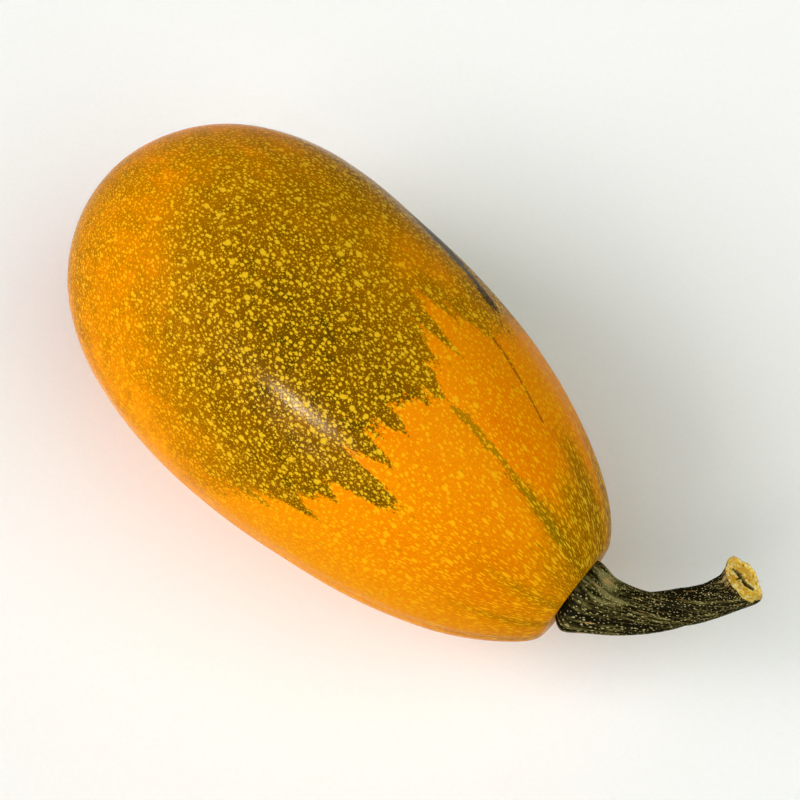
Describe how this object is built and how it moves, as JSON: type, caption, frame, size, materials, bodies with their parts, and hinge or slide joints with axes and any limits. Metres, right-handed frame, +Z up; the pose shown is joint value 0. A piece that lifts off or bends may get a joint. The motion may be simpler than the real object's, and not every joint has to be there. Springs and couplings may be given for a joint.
{
  "type": "spaghetti squash",
  "caption": "Long oval winter squash lying on its side, faintly grooved, with a ridged and twisted dry stem cut at its end.",
  "frame": {"origin": "middle of the flat spot that the fruit rests on, on the floor under its weight", "axes": "+X along the fruit from the blossom end toward the stem, +Z up"},
  "size_m": [0.2832, 0.1297, 0.1303],
  "materials": {
    "squash_skin": "ripe squash rind: deep orange with a bronze-green patch and small yellow flecks, waxy and half glossy",
    "stem_bark": "dry ridged stalk: dark green-black with tan flecks and streaks, matt, with a tan cut end"
  },
  "bodies": {
    "root": {"fruit": "squash_skin", "stem": "stem_bark"}
  },
  "joints": []
}
